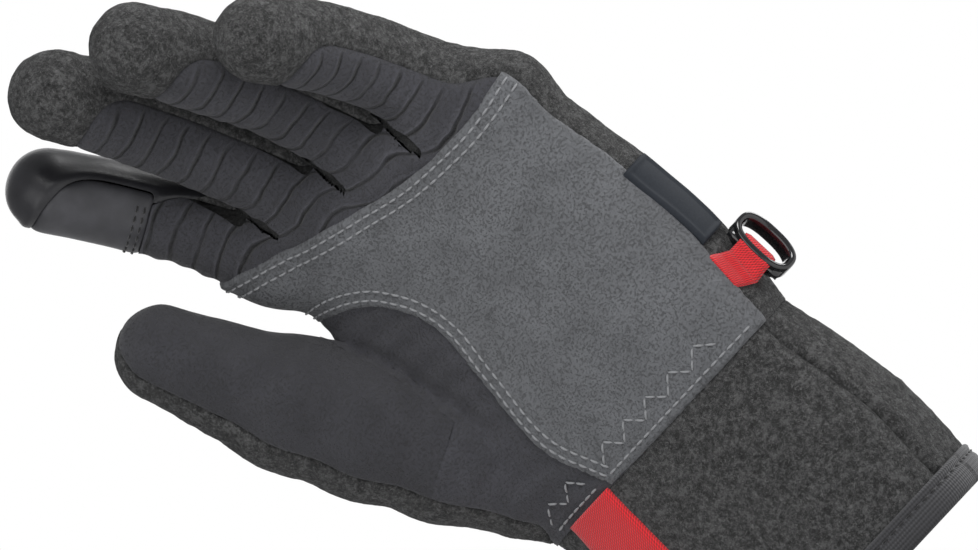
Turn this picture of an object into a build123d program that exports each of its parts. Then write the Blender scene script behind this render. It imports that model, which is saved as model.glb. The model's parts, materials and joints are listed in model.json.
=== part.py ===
from build123d import *

import os
from math import cos, radians, sin, tan

# Left-hand convertible flip-top glove, palm facing -Y, fingers pointing +Z, standing on its cuff.
# The origin is the centre of the cuff's rim. Every sewn panel, lining, strap and fitting is its own solid.

# Driving dimensions, millimetres.
FABRIC = 1.5  # outer cloth or suede
LINING = 2.8  # fleece liner with insulation
GAP = 0.15  # room left between neighbouring layers
SEAM_Y, SEAM_LEAN = -3.7, 0.12  # palm and back panels meet at y = SEAM_Y - SEAM_LEAN * x
CUFF_TOP = 70.0
BINDING_HEIGHT = 9.0
ELASTIC_HEIGHT = 10.0

# The hand tube: height, centre x, centre y, half width, half thickness.
HAND_STATIONS = [
    (0, 0, 0, 49, 30),
    (35, 1, 1, 51, 30),
    (68, 1, 1, 46.5, 26),
    (100, 3, 0, 48.6, 23.5),
    (125, 2.5, 0, 48, 21.5),
    (150, 1.5, -0.2, 47.4, 18.8),
    (170, 0.5, -1.4, 49, 16.4),
    (192, -6, -3.2, 48.5, 13),
]
# Where the hand's walls end below the fingers: height at x = 0 and the rise per millimetre towards the index.
PALM_TOP, PALM_RISE = 175.2, 0.189
BACK_TOP, BACK_RISE = 181.5, 0.17
LINING_TOP, LINING_RISE = 168.0, 0.17

# Each finger: base ball centre, radial lean, flex at base and tip (degrees), length to tip centre, radius.
FINGERS = {
    "index": ((-46.5, -4.0, 190.0), 25.0, 5.0, 25.0, 51.0, 11.0),
    "middle": ((-22.5, -4.0, 188.0), 14.6, 8.0, 36.0, 70.0, 11.5),
    "ring": ((1.8, -3.5, 184.0), 9.5, 14.0, 46.0, 70.5, 11.5),
    "little": ((26.0, -3.0, 178.0), 9.5, 20.0, 56.0, 56.0, 11.0),
}
STRIP_PALM, STRIP_BACK = 5.0, 1.5  # side strip edges, measured from the finger's middle surface
BASE_CUT = 0.5  # share of the radius below the base ball's centre where the finger stall is open
KNUCKLE_ROOM = 0.6

THUMB_BASE = Vector(-45, -10, 104)
THUMB_TIP = Vector(-72, -28, 182)
THUMB_BASE_R, THUMB_MID_R, THUMB_TIP_R = 17.0, 17.4, 12.6
THUMB_MID = 0.5  # share of the length where the thumb is fullest
THUMB_FRONT_TURN = 63.0  # how far the suede front faces round towards the index finger
THUMB_SWINGS = (-10, 0, 12, 24, 35)

# The flip-top hood, drawn flat against the back of the hand.
HOOD_HINGE = Vector(-10, 18.5, 168)
HOOD_AXIS_LEAN = 7.0
HOOD_TILT = 6.5
HOOD_LEFT, HOOD_RIGHT = -54.0, 46.0
HOOD_NARROWING = 6.0  # how much each side comes in towards the hinge
HOOD_START, HOOD_SHOULDER, HOOD_TIP = 2.0, 60.0, 105.0
HOOD_SHEET = 1.5
HOOD_THICKNESS = 7.5
PIPING_R = 1.3

# Ring fitting on the little-finger side.
BAR = Vector(54.8, -1, 85)
BAR_R, BAR_RUNNING = 1.6, 0.05
RING_DIRECTION = Vector(0.5, 0.866, 0)
RING_LENGTH, RING_REACH, RING_DEPTH, RING_WALL = 20.0, 10.5, 6.6, 2.2
LOOP_WIDTH, LOOP_WALL = 11.0, 1.3

BUTTON_R, BUTTON_HEIGHT, BUTTON_STAND = 6.5, 3.5, 6.2
BUTTON_X, BUTTON_Z = -6.0, 52.0

PARTS = {}


def hand(grow):
    """The hand tube, with its wall moved outwards by grow."""
    rings = [Pos(cx, cy, z) * Ellipse(a + grow, b + grow) for z, cx, cy, a, b in HAND_STATIONS]
    return loft(rings)


def layer(outer, inner):
    """The hand tube's wall between two offsets."""
    return hand(outer) - hand(inner)


def slope_cut(height, rise):
    """Everything above a slanted plane that climbs towards the index finger."""
    plane = Plane(origin=(0, 0, height), x_dir=(1, 0, -rise), z_dir=(rise, 0, 1))
    return plane * Pos(0, 0, 100) * Box(400, 400, 200)


def block(x, y, z):
    """A box given by its (low, high) limits along each axis."""
    size = (x[1] - x[0], y[1] - y[0], z[1] - z[0])
    return Pos((x[0] + x[1]) / 2, (y[0] + y[1]) / 2, (z[0] + z[1]) / 2) * Box(*size)


def finger_plane(base, lean):
    """The finger's own frame: x along its knuckle axis, z along the straight finger."""
    t = radians(lean)
    return Plane(origin=base, x_dir=(cos(t), 0, sin(t)), z_dir=(-sin(t), 0, cos(t)))


class Stall:
    """One finger stall: a bent round tube with a ball at each end."""

    def __init__(self, base, lean, flex_base, flex_tip, length, radius):
        self.plane = finger_plane(base, lean)
        self.base, self.radius = Vector(*base), radius
        self.b0, self.b1 = radians(flex_base), radians(flex_tip)
        self.bend = length / (self.b1 - self.b0)

    def at(self, angle):
        """The centreline point where the finger has turned to this angle, in the finger's frame."""
        return Vector(0, self.bend * (cos(angle) - cos(self.b0)), self.bend * (sin(angle) - sin(self.b0)))

    def solid(self, grow=0.0):
        r = self.radius + grow
        path = ThreePointArc(self.at(self.b0), self.at((self.b0 + self.b1) / 2), self.at(self.b1))
        start = Plane(origin=(0, 0, 0), x_dir=(1, 0, 0), z_dir=(0, -sin(self.b0), cos(self.b0)))
        tube = sweep(start * Circle(r), path)
        tip = self.at(self.b1)
        return self.plane * (tube + Sphere(r) + Pos(*tip) * Sphere(r))

    def bent_cylinder(self, offset):
        """A long cylinder about the bend's centre. Its wall follows the finger at this offset to the back."""
        centre = Pos(0, -self.bend * cos(self.b0), -self.bend * sin(self.b0))
        return self.plane * centre * Rot(0, 90, 0) * Cylinder(self.bend + offset, 80)

    def base_cut(self):
        """Everything below the stall's open end."""
        return self.plane * Pos(0, 0, -50 - BASE_CUT * self.radius) * Box(100, 100, 100)

    def beyond(self, share):
        """Everything past this share of the finger's length."""
        angle = self.b0 + (self.b1 - self.b0) * share
        frame = Plane(origin=self.at(angle), x_dir=(1, 0, 0), z_dir=(0, -sin(angle), cos(angle)))
        return self.plane * (frame * Pos(0, 0, 50) * Box(100, 100, 100))


def build_fingers():
    stalls = {name: Stall(*spec) for name, spec in FINGERS.items()}
    for name, stall in stalls.items():
        cloth = stall.solid() - stall.solid(-FABRIC) - stall.base_cut()
        palm_side = stall.bent_cylinder(-STRIP_PALM - GAP)
        PARTS[f"{name}_front"] = cloth & palm_side
        PARTS[f"{name}_back"] = cloth - stall.bent_cylinder(STRIP_BACK + GAP)
        PARTS[f"{name}_side_strip"] = cloth & (
            stall.bent_cylinder(STRIP_BACK) - stall.bent_cylinder(-STRIP_PALM)
        )
        liner = stall.solid(-FABRIC - GAP) - stall.solid(-FABRIC - GAP - LINING / 2)
        PARTS[f"{name}_lining"] = liner - stall.base_cut()
    index = stalls["index"]
    skin = index.solid(GAP + 1.1) - index.solid(GAP)
    pad_zone = index.bent_cylinder(-STRIP_PALM) & index.beyond(0.62)
    PARTS["index_touch_pad"] = skin & pad_zone
    PARTS["index_tip_cap"] = (skin & index.beyond(0.3)) - index.bent_cylinder(-STRIP_PALM + GAP)
    return stalls


def thumb_frame():
    along = (THUMB_TIP - THUMB_BASE).normalized()
    axis = along.cross(Vector(0, -1, 0)).normalized()
    return Plane(origin=THUMB_BASE, x_dir=axis, z_dir=along)


def tapered(low, high, length):
    """A round cone that meets the balls at its two ends smoothly."""
    slope = (low - high) / length
    body = Pos(0, 0, length / 2) * Cone(low * cos(slope), high * cos(slope), length)
    return Sphere(low) + Pos(0, 0, low * sin(slope)) * body + Pos(0, 0, length) * Sphere(high)


def thumb_solid(grow=0.0):
    height = (THUMB_TIP - THUMB_BASE).length
    lower = tapered(THUMB_BASE_R + grow, THUMB_MID_R + grow, height * THUMB_MID)
    upper = tapered(THUMB_MID_R + grow, THUMB_TIP_R + grow, height * (1 - THUMB_MID))
    return thumb_frame() * (lower + Pos(0, 0, height * THUMB_MID) * upper)


def build_thumb():
    frame = thumb_frame()
    cloth = thumb_solid() - thumb_solid(-FABRIC)
    liner = thumb_solid(-FABRIC - GAP) - thumb_solid(-FABRIC - GAP - LINING / 2)
    # The stall is open where it meets the palm: the wrist side and the palm's inside.
    open_end = frame * Pos(0, 0, -50 - BASE_CUT * THUMB_BASE_R) * Box(100, 100, 100)
    # In the thumb's frame -y faces the palm side; the suede front also wraps towards the index finger.
    half = Pos(0, -50 - GAP / 2, 0) * Box(200, 100, 400)
    front_zone = frame * Rot(0, 0, THUMB_FRONT_TURN) * half
    PARTS["thumb_front"] = (cloth - open_end) & front_zone
    PARTS["thumb_back"] = cloth - open_end - frame * Rot(0, 0, THUMB_FRONT_TURN) * Pos(0, GAP, 0) * half
    PARTS["thumb_lining"] = liner - open_end


def cleared(part, rooms):
    """The part with each room cut out of it."""
    for room in rooms:
        part = part - room
    return part


def thumb_room():
    """The spaces the thumb passes through as it swings, with clearance, to be left out of the hand."""
    axis = Axis(THUMB_BASE, thumb_frame().x_dir)
    return [thumb_solid(KNUCKLE_ROOM).rotate(axis, swing) for swing in THUMB_SWINGS]


def overlay_outline():
    """The palm patch seen square on, in x and z: wrist edge, little-finger side, finger edge, thumb edge."""
    wrist_edge = Line((-12.5, 70.5), (44.5, 70.5))
    side = Line((44.5, 70.5), (45.5, 167))
    finger_edge = Spline((45.5, 167), (25, 165), (6.5, 166), (-17, 172), (-60, 186))
    radial_side = Line((-60, 186), (-60, 158))
    thumb_edge = Spline((-60, 158), (-43, 156), (-25, 150), (-16.5, 132), (-20.5, 106), (-12.5, 70.5))
    return make_face([wrist_edge, side, finger_edge, radial_side, thumb_edge])


def build_hand(stalls):
    rooms = thumb_room()
    rooms += [Pos(*stall.base) * Sphere(stall.radius + KNUCKLE_ROOM) for stall in stalls.values()]
    palm_end = slope_cut(PALM_TOP, PALM_RISE)

    cloth = layer(0, -FABRIC)
    seam = Plane(origin=(0, SEAM_Y, 0), x_dir=(1, -SEAM_LEAN, 0), z_dir=(-SEAM_LEAN, -1, 0))
    palm_half = seam * Pos(0, 0, 100) * Box(400, 800, 200)
    back_half = seam * Pos(0, 0, -100 - GAP) * Box(400, 800, 200)
    hand_zone = block((-150, 150), (-150, 150), (CUFF_TOP + GAP, 300))
    cuff_zone = block((-150, 150), (-150, 150), (BINDING_HEIGHT + GAP, CUFF_TOP))
    PARTS["palm_panel"] = cleared(cloth & palm_half & hand_zone, rooms) - palm_end
    PARTS["back_panel"] = cleared(cloth & back_half & hand_zone, rooms)
    PARTS["back_panel"] -= slope_cut(BACK_TOP, BACK_RISE)
    PARTS["cuff_front"] = cloth & palm_half & cuff_zone
    PARTS["cuff_back"] = cloth & back_half & cuff_zone
    band = block((-150, 150), (-150, 150), (0, BINDING_HEIGHT))
    PARTS["cuff_binding"] = layer(1.2, -FABRIC - LINING) & band

    elastic_range = (CUFF_TOP - ELASTIC_HEIGHT / 2, CUFF_TOP + ELASTIC_HEIGHT / 2)
    elastic_band = block((-150, 150), (-150, 150), elastic_range)
    PARTS["wrist_elastic"] = layer(-FABRIC - GAP, -FABRIC - GAP - 0.6) & elastic_band
    lining_zone = block((-150, 150), (-150, 150), (BINDING_HEIGHT + GAP, 300))
    lining_zone = lining_zone - slope_cut(LINING_TOP, LINING_RISE)
    PARTS["hand_lining"] = cleared(layer(-FABRIC - 0.9, -FABRIC - LINING) & lining_zone, rooms)

    patch_zone = extrude(Plane.XZ * overlay_outline(), 60) & palm_half
    PARTS["palm_overlay"] = cleared(layer(GAP + 1.4, GAP) & patch_zone, rooms) - palm_end

    skin = layer(GAP + 1.0, GAP)
    PARTS["side_label"] = skin & block((0, 80), (-8, 3), (97, 125))
    PARTS["pull_tab"] = layer(GAP + 1.4, GAP) & block((-33, -14), (-80, 0), (12, CUFF_TOP))


def hood_plane():
    t = radians(HOOD_TILT)
    return Plane(origin=HOOD_HINGE, x_dir=(1, 0, 0), z_dir=(0, cos(t), sin(t)))


def hood_edge(x, start):
    """Height of the hood's hinge-side edge at x; it runs parallel to the hinge."""
    return start - x * tan(radians(HOOD_AXIS_LEAN)) * cos(radians(HOOD_TILT))


def hood_outline(start, inset=0.0):
    """The hood's flat shape: sides widening from the knuckles, then a rounded tip."""
    left, right, tip = HOOD_LEFT + inset, HOOD_RIGHT - inset, HOOD_TIP - inset
    first_left, first_right = left + HOOD_NARROWING, right - HOOD_NARROWING / 3
    low_left = (first_left, hood_edge(first_left, start))
    low_right = (first_right, hood_edge(first_right, start))
    wide_left, wide_right = (left, HOOD_SHOULDER), (right, HOOD_SHOULDER)
    edge = [Line(low_left, low_right), Line(low_right, wide_right)]
    edge.append(ThreePointArc(wide_right, (right * 0.76, tip - 17), (4, tip)))
    edge.append(ThreePointArc((4, tip), (left * 0.76, tip - 17), wide_left))
    edge.append(Line(wide_left, low_left))
    return make_face(edge)


def build_hood():
    plane = hood_plane()

    def sheet(low, high, start=HOOD_START, inset=0.0):
        return plane * Pos(0, 0, low) * extrude(hood_outline(start, inset), high - low)

    top = HOOD_THICKNESS
    PARTS["hood_back"] = sheet(0, HOOD_SHEET)
    PARTS["hood_lining"] = sheet(HOOD_SHEET + GAP, HOOD_SHEET + 1.2, inset=2.5)
    lip = plane * Rot(0, 0, -HOOD_AXIS_LEAN) * Pos(0, HOOD_START + 7 - 50, 0) * Box(300, 100, 60)
    PARTS["hood_front"] = sheet(top - HOOD_SHEET, top) - lip
    PARTS["hood_lip_band"] = sheet(top - 2.2, top + 0.6, inset=1.0) & lip
    wall = sheet(HOOD_SHEET + GAP, top - 2.2 - GAP)
    PARTS["hood_gusset"] = wall - sheet(0, top, HOOD_START - 5, 2.0)
    ring = RectangleRounded(10, 22, 4.9) - RectangleRounded(7, 19, 3.4)
    cord = plane * Pos(4, HOOD_TIP + 7, 1.2) * extrude(ring, 1.4)
    PARTS["hood_loop"] = cord - sheet(-1, top + 1)

    lean = radians(HOOD_AXIS_LEAN)
    axis_plane = Plane(origin=HOOD_HINGE, x_dir=(0, 1, 0), z_dir=(cos(lean), 0, sin(lean)))
    piping = axis_plane * Pos(0, 0, 3) * Cylinder(PIPING_R, 82)
    web = axis_plane * Pos(-9 - PIPING_R / 2, 0, 3) * Box(18 - PIPING_R, 1.2, 82)
    strip = (piping + web) - hand(GAP)
    PARTS["hood_anchor_strip"] = max(strip.solids(), key=lambda solid: solid.volume)

    cuff_y = 29.5
    head_y = cuff_y + BUTTON_STAND + BUTTON_HEIGHT / 2
    head = Pos(BUTTON_X, head_y, BUTTON_Z) * Rot(90, 0, 0) * Cylinder(BUTTON_R, BUTTON_HEIGHT)
    post = Pos(BUTTON_X, head_y / 2, BUTTON_Z) * Rot(90, 0, 0) * Cylinder(1.8, head_y)
    PARTS["stow_button"] = fillet(head.edges(), 1.0) + (post - hand(GAP))


def build_ring():
    out = RING_DIRECTION.normalized()
    across = Vector(0, 0, 1).cross(out)
    frame = Plane(origin=BAR, x_dir=out, z_dir=across)
    reach = RING_REACH - 2 * BAR_R
    outer = Pos(reach / 2, 0, 0) * extrude(
        RectangleRounded(RING_REACH, RING_LENGTH, 5.0), RING_DEPTH / 2, both=True
    )
    inner = Pos(reach / 2, 0, 0) * extrude(
        RectangleRounded(RING_REACH - 2 * RING_WALL, RING_LENGTH - 2 * RING_WALL, 2.8), RING_DEPTH, both=True
    )
    window = Pos(-1, 0, 0) * Box(7.0, LOOP_WIDTH + 1.2, 20)
    bar = Rot(90, 0, 0) * Cylinder(BAR_R, RING_LENGTH - 3)
    PARTS["clip_ring"] = frame * ((outer - inner - window) + bar)

    running = BAR_R + BAR_RUNNING
    eye = Pos(*BAR) * Cylinder(running, 40)
    wrap = Pos(*BAR) * Cylinder(running + LOOP_WALL, LOOP_WIDTH)
    under = GAP
    width = (BAR.Z - LOOP_WIDTH / 2, BAR.Z + LOOP_WIDTH / 2)
    tail = layer(under + LOOP_WALL, under) & block((30, 80), (-7.6, -1), width)
    bridge = block((46, BAR.X), (BAR.Y - 3, BAR.Y), width) - hand(under)
    PARTS["side_loop"] = (wrap + tail + bridge) - eye


stalls = build_fingers()
build_thumb()
build_hand(stalls)
build_hood()
build_ring()
os.makedirs("parts", exist_ok=True)
for name, part in PARTS.items():
    export_step(Compound(children=list(part.solids())), f"parts/{name}.step")
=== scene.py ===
import json
import math

import bmesh
import bpy
import numpy as np
from mathutils import Matrix, Vector


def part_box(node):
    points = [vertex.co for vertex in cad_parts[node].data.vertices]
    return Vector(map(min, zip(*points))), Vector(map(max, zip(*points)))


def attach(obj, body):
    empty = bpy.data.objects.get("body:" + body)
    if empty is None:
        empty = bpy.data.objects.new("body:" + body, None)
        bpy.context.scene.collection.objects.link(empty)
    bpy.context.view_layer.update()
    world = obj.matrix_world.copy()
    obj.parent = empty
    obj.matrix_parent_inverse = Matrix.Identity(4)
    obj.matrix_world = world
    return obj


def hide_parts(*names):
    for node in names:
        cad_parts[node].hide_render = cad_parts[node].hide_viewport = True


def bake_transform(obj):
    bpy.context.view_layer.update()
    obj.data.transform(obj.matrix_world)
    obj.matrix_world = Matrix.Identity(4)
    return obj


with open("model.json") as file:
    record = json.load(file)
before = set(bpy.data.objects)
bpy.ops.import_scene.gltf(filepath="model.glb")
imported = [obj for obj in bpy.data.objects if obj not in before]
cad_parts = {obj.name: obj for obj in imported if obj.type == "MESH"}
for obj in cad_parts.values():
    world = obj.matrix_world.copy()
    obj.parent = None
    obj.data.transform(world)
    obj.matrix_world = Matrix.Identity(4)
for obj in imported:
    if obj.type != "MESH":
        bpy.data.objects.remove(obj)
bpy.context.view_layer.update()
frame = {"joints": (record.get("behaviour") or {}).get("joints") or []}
JOINTS = {j["name"]: j for j in frame["joints"]}
MM = 0.001
FAR = 1e9

# ---- the glove's form, in millimetres
# Hand tube: height, centre x, centre y, half width, half thickness.
STATIONS = np.array([
    (-12, 0, 0, 49, 30),
    (0, 0, 0, 49, 30),
    (35, 1, 1, 51, 30),
    (66, 1, 1, 46.2, 26),
    (78, 2, 0.5, 47, 25),
    (100, 3, 0, 48.6, 23.5),
    (125, 2.5, 0, 48, 21.5),
    (150, 1, 0, 46.8, 18.8),
    (165, 2.3, -1, 48.6, 17),
    (178, -2.5, -2, 50, 15.5),
    (200, -9, -3.5, 47, 12.5),
])
SMOOTHING = 17  # the stations are rounded off over this height
ROUNDNESS = 2.35  # superellipse power of the hand's cross-section
KNUCKLE_TOP, KNUCKLE_RISE = 182.0, 0.17  # where the hand closes, climbing towards the index finger
# Flex at the base and the tip in degrees, length to the tip centre, radius at the base and the tip.
FINGER_SHAPE = {
    "index": (5, 25, 51, 11.0, 10.6),
    "middle": (8, 36, 70, 12.4, 11.2),
    "ring": (14, 46, 70.5, 12.2, 11.2),
    "little": (20, 56, 56, 11.8, 11.0),
}
FINGER_ROUND = 11.0  # a finger's mean radius, which turns angles round it into lengths of cloth
THUMB_LINE = np.array([
    (-40.5, -7, 90),
    (-46.5, -11, 108),
    (-55, -16.5, 128),
    (-62.5, -21.5, 148),
    (-74.0, -28.5, 182),
])
THUMB_RADII = np.array([14.5, 17.0, 17.6, 16.8, 12.2])
THUMB_LINKS = list(zip(THUMB_LINE, THUMB_LINE[1:], THUMB_RADII, THUMB_RADII[1:]))
FINGER_BLEND, THUMB_BLEND, WEB_BLEND = 9, 4, 11  # how softly the parts of the form run together
WRIST = 70.5
RIB_PITCH = 6.9
PALMWARD = np.array([0, -1.0, 0])


def smooth_stations():
    z = np.arange(STATIONS[0, 0], STATIONS[-1, 0] + 1)
    columns = [np.interp(z, STATIONS[:, 0], column) for column in STATIONS[:, 1:].T]
    kernel = np.hanning(SMOOTHING)
    kernel /= kernel.sum()
    return z, [np.convolve(np.pad(c, SMOOTHING // 2, mode="edge"), kernel, mode="valid") for c in columns]


STATION_Z, STATION_COLUMNS = smooth_stations()


def section(z):
    """Centre x, centre y, half width and half thickness of the hand at these heights."""
    return [np.interp(z, STATION_Z, c) for c in STATION_COLUMNS]


def smin(a, b, k):
    """The smaller of two distances, rounded over k where they are alike."""
    h = np.maximum(k - np.abs(a - b), 0) / k
    return np.minimum(a, b) - h * h * k / 4


def smax(a, b, k):
    return -smin(-a, -b, k)


def step(low, high, x):
    t = np.clip((x - low) / (high - low), 0, 1)
    return t * t * (3 - 2 * t)


def bell(x, width):
    return np.exp(-((x / width) ** 2))


def unit(vectors):
    return vectors / np.maximum(np.linalg.norm(vectors, axis=-1, keepdims=True), 1e-9)


def full_turn(count):
    return np.linspace(0, 2 * math.pi, count, endpoint=False)


def signed_power(x, power):
    return np.sign(x) * np.abs(x) ** power


THUMB_AXIS = unit(THUMB_LINE[3] - THUMB_LINE[1])


class Finger:
    """A round finger with an even bend, standing on its own flex joint."""

    def __init__(self, name):
        joint = JOINTS[name + "_flex"]
        bend0, bend1, self.length, self.r0, self.r1 = FINGER_SHAPE[name]
        self.body = name + "_finger"
        self.base = np.array(joint["pos_m"]) / MM
        self.across = np.array(joint["axis"], float)
        self.straight = np.array([-self.across[2], 0, self.across[0]])
        self.b0, self.b1 = math.radians(bend0), math.radians(bend1)
        self.turn = self.length / (self.b1 - self.b0)
        self.first = self.tangent(np.array([self.b0]))[0]

    def tangent(self, b):
        return np.cos(b)[:, None] * self.straight + np.sin(b)[:, None] * PALMWARD

    def normal(self, b):
        """Towards the palm side, square to the finger."""
        return -np.sin(b)[:, None] * self.straight + np.cos(b)[:, None] * PALMWARD

    def centre(self, b):
        along = self.turn * (np.sin(b) - np.sin(self.b0))
        down = self.turn * (np.cos(self.b0) - np.cos(b))
        return self.base + along[:, None] * self.straight + down[:, None] * PALMWARD

    def coordinates(self, p):
        """Length along the finger, negative below the knuckle; turn round it, 0 at the palm; distance."""
        rel = p - self.base
        # The bend's centre lies on the palm side of the base.
        back = self.turn * math.sin(self.b0) + rel @ self.straight
        drop = self.turn * math.cos(self.b0) - rel @ PALMWARD
        below = (rel @ self.first) < 0
        bend = np.where(below, self.b0, np.clip(np.arctan2(back, drop), self.b0, self.b1))
        off = p - self.centre(bend)
        along = np.sum(off * self.tangent(bend), axis=1)
        s = (bend - self.b0) * self.turn + along
        side, palm = off @ self.across, np.sum(off * self.normal(bend), axis=1)
        radius = self.r0 + (self.r1 - self.r0) * np.clip(s / self.length, 0, 1)
        past_tip = np.where(s > self.length, along, 0)
        below_base = np.where(below, np.maximum(-along - 14, 0), 0)
        distance = np.sqrt(side**2 + palm**2 + past_tip**2 + below_base**2) - radius
        return s, np.arctan2(side, palm), distance


FINGERS = {name: Finger(name) for name in FINGER_SHAPE}
INDEX = FINGERS["index"]


def hand_distance(p):
    cx, cy, a, b = section(p[:, 2])
    dx, dy = np.abs(p[:, 0] - cx) + 1e-6, np.abs(p[:, 1] - cy) + 1e-6
    n = ROUNDNESS
    q = ((dx / a) ** n + (dy / b) ** n) ** (1 / n)
    slope = np.sqrt((dx ** (n - 1) / a**n) ** 2 + (dy ** (n - 1) / b**n) ** 2) / q ** (n - 1)
    top = p[:, 2] - (KNUCKLE_TOP - KNUCKLE_RISE * p[:, 0])
    return smax((q - 1) / slope, top, 14)


def thumb_distance(p):
    best = np.full(len(p), FAR)
    for a, b, radius_a, radius_b in THUMB_LINKS:
        t = np.clip((p - a) @ (b - a) / ((b - a) @ (b - a)), 0, 1)
        radius = radius_a + (radius_b - radius_a) * t
        d = np.linalg.norm(p - a - t[:, None] * (b - a), axis=1) - radius
        best = smin(best, d, THUMB_BLEND)
    return best


def palm_distance(p):
    """The hand and its four fingers, without the thumb."""
    fingers = np.full(len(p), FAR)
    for finger in FINGERS.values():
        fingers = smin(fingers, finger.coordinates(p)[2], 1.2)
    return smin(hand_distance(p), fingers, FINGER_BLEND)


def glove_distance(p):
    return smin(palm_distance(p), thumb_distance(p), WEB_BLEND)


def slope_of(distance, p, h=0.25):
    g = np.empty_like(p)
    for i in range(3):
        shift = np.zeros(3)
        shift[i] = h
        g[:, i] = (distance(p + shift) - distance(p - shift)) / (2 * h)
    return g


def outward(p):
    return unit(slope_of(glove_distance, p))


def settle(p, rounds):
    """Moves points onto the glove's surface."""
    for _ in range(rounds):
        g = slope_of(glove_distance, p)
        p = p - (glove_distance(p) / np.maximum(np.sum(g * g, axis=1), 0.2))[:, None] * g
    return p


def march(p, way):
    """Moves points along one direction until they meet the hand."""
    for _ in range(60):
        p = p + np.minimum(0.8 * palm_distance(p), 4.0)[:, None] * np.array(way)
    return p


# ---- mesh helpers
def link(obj):
    bpy.context.scene.collection.objects.link(obj)
    return obj


def mesh_object(name, points, faces, smooth=True):
    mesh = bpy.data.meshes.new(name)
    mesh.from_pydata((np.asarray(points) * MM).tolist(), [], [tuple(int(i) for i in f) for f in faces])
    mesh.update()
    mesh.polygons.foreach_set("use_smooth", [smooth] * len(mesh.polygons))
    return link(bpy.data.objects.new(name, mesh))


def dress(obj, material, nodes=(), body=None):
    """Material, slot, the CAD nodes it stands for, and its body when one is given."""
    obj.data.materials.append(material)
    if nodes:
        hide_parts(*nodes)
    if body:
        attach(obj, body)
    return obj


def set_field(obj, name, values):
    values = np.asarray(values, np.float32)
    if values.ndim == 1:
        obj.data.attributes.new(name, "FLOAT", "POINT").data.foreach_set("value", values)
    else:
        obj.data.attributes.new(name, "FLOAT_VECTOR", "POINT").data.foreach_set("vector", values.ravel())


def blend_by(obj, start, end, weight):
    """Bakes the object's placement into its mesh; it makes no bend, and start, end and weight are not used.
    """
    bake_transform(obj)


def grid_faces(rows, columns, closed, looped=False):
    """Faces of a grid of points: closed joins the ends of each row, looped the last row to the first."""
    faces = []
    for i in range(rows if looped else rows - 1):
        for j in range(columns if closed else columns - 1):
            here, above = i * columns, (i + 1) % rows * columns
            k = (j + 1) % columns
            faces.append((here + j, here + k, above + k, above + j))
    return faces


def rough_tube(bm, sides=72):
    """The hand as a closed sleeve that climbs towards the index finger."""
    rows = []
    for z in np.arange(-8, 184, 4.0):
        cx, cy, a, b = [float(v) for v in section(z)]
        slant = KNUCKLE_RISE * step(100, 180, z)
        row = [(cx + a * math.cos(t), cy + b * math.sin(t)) for t in full_turn(sides)]
        rows.append([bm.verts.new((x, y, z - slant * x)) for x, y in row])
    for low, high in zip(rows, rows[1:]):
        for j in range(sides):
            k = (j + 1) % sides
            bm.faces.new((low[j], low[k], high[k], high[j]))
    bm.faces.new(rows[0][::-1])
    bm.faces.new(rows[-1])


def rough_balls():
    """Centres and radii of balls strung along the fingers and the thumb."""
    for f in FINGERS.values():
        for t in np.linspace(0, 1, 24):
            bend = np.array([f.b0 + (f.b1 - f.b0) * t])
            yield f.centre(bend)[0], f.r0 + (f.r1 - f.r0) * t
    for a, b, radius_a, radius_b in THUMB_LINKS:
        for t in np.linspace(0, 1, 8):
            yield a + (b - a) * t, radius_a + (radius_b - radius_a) * t


def remeshed(bm, voxel):
    """Points and triangles of overlapping solids joined into one."""
    mesh = bpy.data.meshes.new("rough")
    bm.to_mesh(mesh)
    obj = link(bpy.data.objects.new("rough", mesh))
    remesh = obj.modifiers.new("remesh", "REMESH")
    remesh.mode, remesh.voxel_size = "VOXEL", voxel
    evaluated = obj.evaluated_get(bpy.context.evaluated_depsgraph_get())
    result = evaluated.to_mesh()
    points = np.empty(len(result.vertices) * 3)
    result.vertices.foreach_get("co", points)
    result.calc_loop_triangles()
    tris = np.empty(len(result.loop_triangles) * 3, np.int64)
    result.loop_triangles.foreach_get("vertices", tris)
    evaluated.to_mesh_clear()
    bpy.data.objects.remove(obj)
    return points.reshape(-1, 3), tris.reshape(-1, 3)


def master_skin(voxel):
    """The whole glove as one closed surface: rough solids remeshed, then settled on the exact form."""
    bm = bmesh.new()
    rough_tube(bm)
    for centre, radius in rough_balls():
        place = Matrix.Translation(Vector(centre))
        bmesh.ops.create_icosphere(bm, subdivisions=3, radius=float(radius), matrix=place)
    points, tris = remeshed(bm, voxel)
    bm.free()
    points = settle(points, 3)
    edges = np.concatenate([tris[:, [0, 1]], tris[:, [1, 2]], tris[:, [2, 0]]])
    both_ways = np.vstack([edges, edges[:, ::-1]])
    count = np.bincount(both_ways[:, 0], minlength=len(points))
    for _ in range(3):
        total = np.stack([np.bincount(both_ways[:, 0], points[both_ways[:, 1], i], len(points))
                          for i in range(3)], axis=1)
        points = settle(points * 0.5 + 0.5 * total / count[:, None], 1)
    return settle(points, 2), tris


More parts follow.
